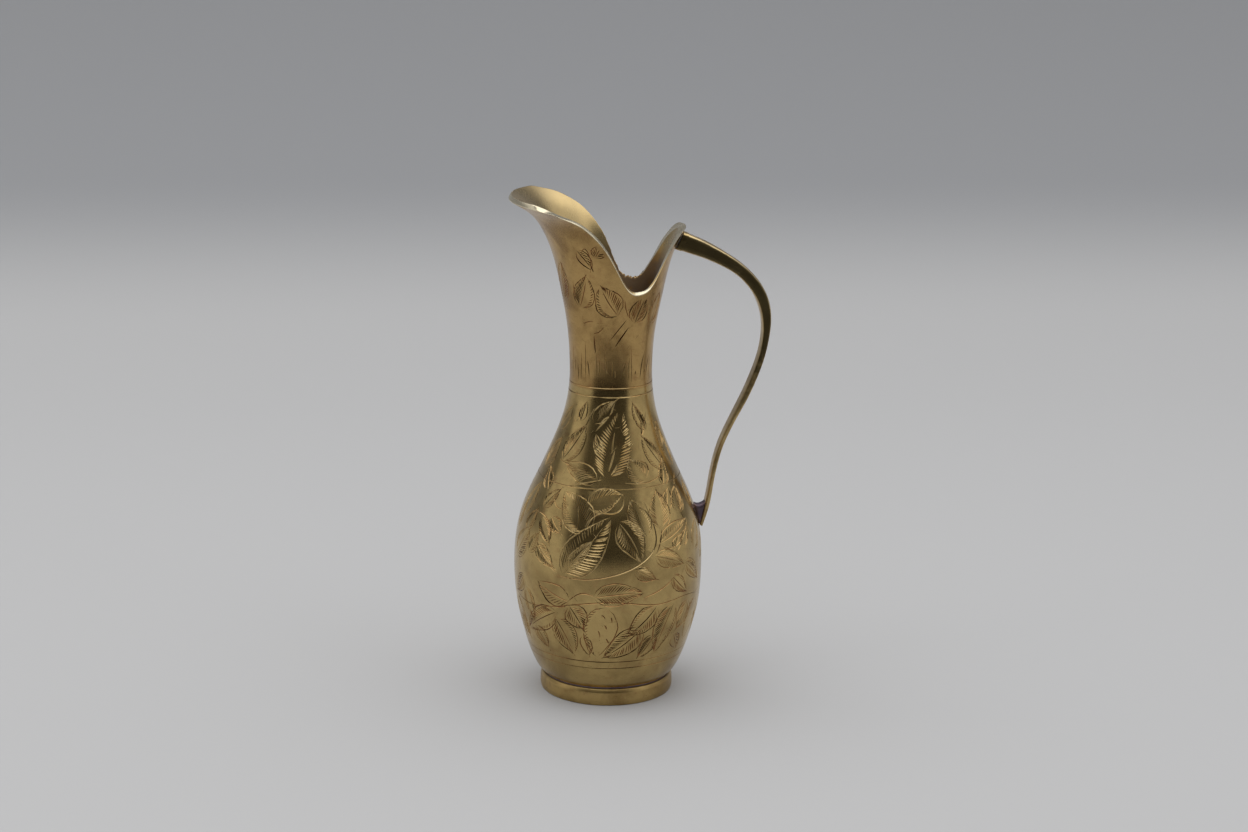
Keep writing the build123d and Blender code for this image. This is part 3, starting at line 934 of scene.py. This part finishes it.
neck_work = Engraving(NECK_LOW, neck_tops)
band_of_leaves(neck_work, NECK_LEAVES, NECK_VINES)
for height, half in NECK_RINGS:
    ring(neck_work, height, half)
stalks(neck_work, 83.2, 95.0, 46)
scratches(neck_work, 120, 84, 105, 0.03)
engraved_shell("neck", NECK_LOW, outer_edge, inner_edge, CROWN, neck_work, held_brass)

# Film of braze between belly and neck: the same wall, one film high, closed inside
seam_angles = np.linspace(-TURN, 0, COLUMNS)
seam_rows = np.array([
    wall_point(seam_angles, np.full(COLUMNS, height), depth)
    for height, depth in (
        (BELLY_TOP, 0), (NECK_LOW, 0), (NECK_LOW, WALL), (BELLY_TOP, WALL), (BELLY_TOP, 0),
    )
])
seam_faces = grid_faces(len(seam_rows), COLUMNS)
make_piece(
    "neck_braze", seam_rows.reshape(-1, 3), seam_faces, "neck_braze", spun_brass,
    bare_skin=np.arange(len(seam_faces)) < COLUMNS - 1,
)

FOOT_BORE = 15.2
# How far the ring's faces stand inside the CAD's
SKIN = 0.02
foot_section = rounded([
    (FOOT_BORE, SKIN), (FOOT_RADIUS - 0.25, SKIN), (FOOT_RADIUS - SKIN, 1.2), (FOOT_RADIUS - 0.12, 3.5),
    (FOOT_RADIUS - 0.55, FOOT_TOP - SKIN), (FOOT_BORE, FOOT_TOP - SKIN),
], 0.35)
turned_ring("foot_ring", foot_section, turned_brass)
for node, material in (("base_plate", turned_brass), ("foot_braze", braze_metal)):
    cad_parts[node].data.materials.clear()
    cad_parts[node].data.materials.append(material)

# Side view of the strap handle, as (x, height), from the neck over and down to the belly
STRAP_OUTER = [
    (17.0, 120.9), (22.0, 119.0), (30.1, 114.5), (36.2, 109.6), (40.2, 103.2), (40.9, 96.0),
    (39.5, 87.7), (34.3, 75.0), (29.7, 65.5), (27.3, 55.9), (26.3, 49.5), (24.3, 42.8),
]
STRAP_INNER = [
    (15.0, 116.4), (22.9, 113.9), (29.8, 110.7), (36.9, 103.2), (38.7, 95.0),
    (37.3, 86.6), (32.0, 73.9), (27.0, 61.1), (25.4, 51.4), (23.6, 43.2),
]
STRAP_TOP_WIDTH, STRAP_FOOT_WIDTH = 4.75, 4.15
# How pale the strap's corners are, partly wear and partly a painted highlight, and how dark the painted
# shade on its upper sides, at most
CORNER_WEAR_AND_PAINTED_SHEEN, SIDE_PAINTED_SHADE = 0.35, 0.75


def strap(name, first, last, swell, material, lumps=0.0):
    """Part of the handle's strap: a rounded-oblong section carried down the two side-view curves.

    The section is a superellipse of power 5, |x|**5 + |y|**5 = 1, swollen by a few tenths of a
    millimetre, with filing waves of a few hundredths, and each end closes in a small dome. first and
    last are shares of the strap's length, and lumps is the height of a braze's lumps.
    """
    run = np.linspace(first, last, max(24, int(300 * (last - first))))
    outer, inner = chord_curve(STRAP_OUTER)(run), chord_curve(STRAP_INNER)(run)
    around = np.linspace(0, TURN, 49)
    c, s = np.cos(around), np.sin(around)
    reach = (np.abs(c) ** 5 + np.abs(s) ** 5) ** -0.2
    c, s = c * reach, s * reach
    grow = np.r_[0, 0.5, 0.85, np.ones(len(run)), 0.85, 0.5, 0]
    pad = np.r_[0, 0, 0, np.arange(len(run)), [len(run) - 1] * 3]
    centre, half = ((outer + inner) / 2)[pad], ((outer - inner) / 2)[pad]
    thick = np.hypot(*half.T)[:, None]
    half = half / thick * (thick + swell) * grow[:, None]
    share = run[pad][:, None]
    wide = STRAP_TOP_WIDTH + (STRAP_FOOT_WIDTH - STRAP_TOP_WIDTH) * share
    wide = (wide / 2 + swell) * grow[:, None]
    filing = 0.965 + 0.02 * np.sin(31 * share + 2 * c) + 0.015 * np.sin(57 * share + 3 * s + 1)
    filing = filing + lumps * np.sin(260 * share + 3 * np.sin(3 * around)) * np.sin(5 * around + 1)
    x = centre[:, :1] + half[:, :1] * c * filing
    z = centre[:, 1:] + half[:, 1:] * c * filing
    points = np.stack([x, wide * s * filing, z], -1)
    # Corners get a pale mark, partly wear and partly a painted highlight; the upper part's flat sides get
    # painted shade
    corner = np.clip((np.abs(c * s) - 0.55) / 0.25, 0, 1)
    upper_side_painted_shade = np.clip(1.8 - 2.6 * share, 0, SIDE_PAINTED_SHADE) * (np.abs(s) > 0.9)
    make_piece(
        name, points.reshape(-1, 3), grid_faces(*x.shape)[:, ::-1], name, material,
        marks={
            "rim": np.broadcast_to(corner, x.shape).ravel() * CORNER_WEAR_AND_PAINTED_SHEEN * (lumps == 0),
            "soil": upper_side_painted_shade.ravel(),
        },
    )


strap("handle", 0.012, 0.995, 0.0, filed_brass)
strap("handle_top_braze", 0.010, 0.026, 0.10, filed_brass, 0.02)

# Fillet of braze between the belly and the strap's foot: a side view (x, height), its left edge
# just inside the wall, carried across with its ends closed in domes
FOOT_FILLET = [
    (22.0, 49.2), (23.3, 48.8), (24.5, 49.2), (25.5, 50.1), (25.3, 48.4), (24.6, 45.8),
    (24.1, 43.7), (23.5, 43.7), (22.7, 46.2),
]
FILLET_WIDTH = 3.1
fillet = rounded(FOOT_FILLET, 0.5)
fillet = np.concatenate([fillet, fillet[:1]])
across = np.sin(np.linspace(-np.pi / 2, np.pi / 2, 25))
shrink = ((1 - np.abs(across) ** 6).clip(0) ** 0.3)[:, None]
middle_point = fillet.mean(0)
fillet_x = middle_point[0] + (fillet[:, 0] - middle_point[0]) * shrink
fillet_z = middle_point[1] + (fillet[:, 1] - middle_point[1]) * shrink
fillet_y = np.broadcast_to(across[:, None] * FILLET_WIDTH / 2, fillet_x.shape)
make_piece(
    "handle_foot_braze", np.stack([fillet_x, fillet_y, fillet_z], -1).reshape(-1, 3),
    grid_faces(*fillet_x.shape), "handle_foot_braze", braze_metal,
)

# ------------------------------ stage, camera and light

def stage_mesh(name, points, faces, colour):
    """Plain mesh in metres that belongs to the studio, in one matt colour."""
    mesh = bpy.data.meshes.new(name)
    mesh.from_pydata(np.asarray(points, float).tolist(), [], [list(map(int, f)) for f in faces])
    mesh.shade_smooth()
    thing = bpy.data.objects.new(name, mesh)
    bpy.context.scene.collection.objects.link(thing)
    material = bpy.data.materials.new(name)
    material.use_nodes = True
    shader = material.node_tree.nodes["Principled BSDF"]
    shader.inputs["Base Color"].default_value = linear(colour)
    shader.inputs["Roughness"].default_value = 0.9
    shader.inputs["Specular IOR Level"].default_value = 0.1
    mesh.materials.append(material)
    return thing


def paint_shade_upwards(thing, above, low, high):
    """Painted shade: let a thing's colour go over to the one above between two heights in metres."""
    tree = thing.data.materials[0].node_tree
    place = add(tree, "ShaderNodeTexCoord").outputs["Object"]
    height = add(tree, "ShaderNodeSeparateXYZ", inputs={0: place}).outputs["Z"]
    share = add(tree, "ShaderNodeMapRange", SMOOTH, {
        "Value": height, "From Min": low, "From Max": high,
    }).outputs["Result"]
    base = tree.nodes["Principled BSDF"].inputs["Base Color"]
    below = tuple(base.default_value)
    colour = add(tree, "ShaderNodeMix", RGBA, {0: share, 6: below, 7: linear(above)}).outputs[2]
    tree.links.new(colour, base)


def paper_sweep():
    """Paper that lies flat, then curls up behind: a straight run, a quarter arc and a wall."""
    flat_to, bend, wide = 0.30, 0.45, 3.0
    arc = np.linspace(0, np.pi / 2, 24)
    y = np.r_[-2.5, -1.0, -0.3, 0.0, flat_to + bend * np.sin(arc), flat_to + bend]
    z = np.r_[0, 0, 0, 0, bend * (1 - np.cos(arc)), 0.7]
    x = np.linspace(-wide, wide, 7)
    points = np.stack(np.broadcast_arrays(x[None, :], y[:, None], z[:, None]), -1)
    return stage_mesh("paper_sweep", points.reshape(-1, 3), grid_faces(len(y), len(x)), "#B2B2B2")


# Painted shade: the paper darkens as it rises into its wall
paint_shade_upwards(paper_sweep(), "#959698", 0.010, 0.056)

# Black felt in front of the ewer, there only for its reflection in the brass
FELT_HEIGHT = 0.0006
FELT_CORNERS = [(-3.2, -2.4), (2.4, -2.4), (0.22, -0.25), (-0.31, -0.25)]
felt_points = [(x, y, FELT_HEIGHT) for x, y in FELT_CORNERS]
felt = stage_mesh("black_felt", felt_points, [(0, 1, 2, 3)], "#1C1B1A")
felt.visible_camera = False
felt.visible_diffuse = False
felt.visible_shadow = False

camera_data = bpy.data.cameras.new("camera")
camera = bpy.data.objects.new("camera", camera_data)
bpy.context.scene.collection.objects.link(camera)
camera_data.lens = 74.0
camera_data.sensor_width = 36.0
# The camera's place: how far round from -Y, how far off and how high, in radians and metres
SIDE, AWAY, ABOVE = math.radians(6.5), 0.6391, 0.2331
# How far it is turned aside, down and over
ASIDE, DOWN, OVER = math.radians(0.32), math.radians(14.09), math.radians(0.96)
camera.matrix_world = (
    Matrix.Translation((-AWAY * math.sin(SIDE), -AWAY * math.cos(SIDE), ABOVE))
    @ Matrix.Rotation(-SIDE - ASIDE, 4, "Z")
    @ Matrix.Rotation(math.pi / 2 - DOWN, 4, "X")
    @ Matrix.Rotation(OVER, 4, "Z")
)
bpy.context.scene.camera = camera


def soft_light(name, place, aim, size, power):
    """Square soft light of a size in metres at place, aimed at a point; it isn't mirrored."""
    data = bpy.data.lights.new(name, "AREA")
    data.shape = "SQUARE"
    data.size = size
    data.energy = power
    lamp = bpy.data.objects.new(name, data)
    bpy.context.scene.collection.objects.link(lamp)
    way = Vector(place) - Vector(aim)
    lamp.matrix_world = Matrix.Translation(place) @ way.to_track_quat("Z", "Y").to_matrix().to_4x4()
    lamp.visible_glossy = False


soft_light("top_box", place=(-0.3, -0.1, 1.3), aim=(0.05, 0.1, 0), size=1.9, power=6.5)


# Light of the room at its sides, in front and overhead, and what the camera sees of it
ROOM_SIDES, ROOM_FRONT = (0.66, 0.66, 0.665, 1), (0.060, 0.058, 0.054, 1)
ROOM_ABOVE, ROOM_SEEN = (1.5, 1.5, 1.52, 1), (0.42, 0.42, 0.42, 1)


def studio_world():
    """The room round the stage: dark in front, lit at both sides, and brightest overhead."""
    world = bpy.data.worlds.new("room")
    world.use_nodes = True
    tree = world.node_tree
    way = add(tree, "ShaderNodeTexCoord").outputs["Generated"]
    flat = add(tree, "ShaderNodeVectorMath", TIMES, {0: way, 1: (1, 1, 0)}).outputs[0]
    flat = add(tree, "ShaderNodeVectorMath", {"operation": "NORMALIZE"}, {0: flat}).outputs[0]
    dark_side = SIDE + math.radians(4)
    ahead = (-math.sin(dark_side), -math.cos(dark_side), 0)
    front = add(tree, "ShaderNodeVectorMath", {"operation": "DOT_PRODUCT"}, {
        0: flat, 1: ahead,
    }).outputs["Value"]
    height = add(tree, "ShaderNodeSeparateXYZ", inputs={0: way}).outputs["Z"]
    facing, above = (
        add(tree, "ShaderNodeMapRange", SMOOTH, {
            "Value": value, "From Min": start, "From Max": full,
        }).outputs["Result"]
        for value, start, full in ((front, 0.52, 0.70), (height, 0.55, 0.80))
    )
    seen = add(tree, "ShaderNodeLightPath").outputs["Is Camera Ray"]
    room = ROOM_SIDES
    for share, light in ((facing, ROOM_FRONT), (above, ROOM_ABOVE), (seen, ROOM_SEEN)):
        room = add(tree, "ShaderNodeMix", RGBA, {0: share, 6: room, 7: light}).outputs[2]
    tree.links.new(room, tree.nodes["Background"].inputs["Color"])
    bpy.context.scene.world = world


studio_world()
bpy.context.scene.view_settings.view_transform = "Standard"
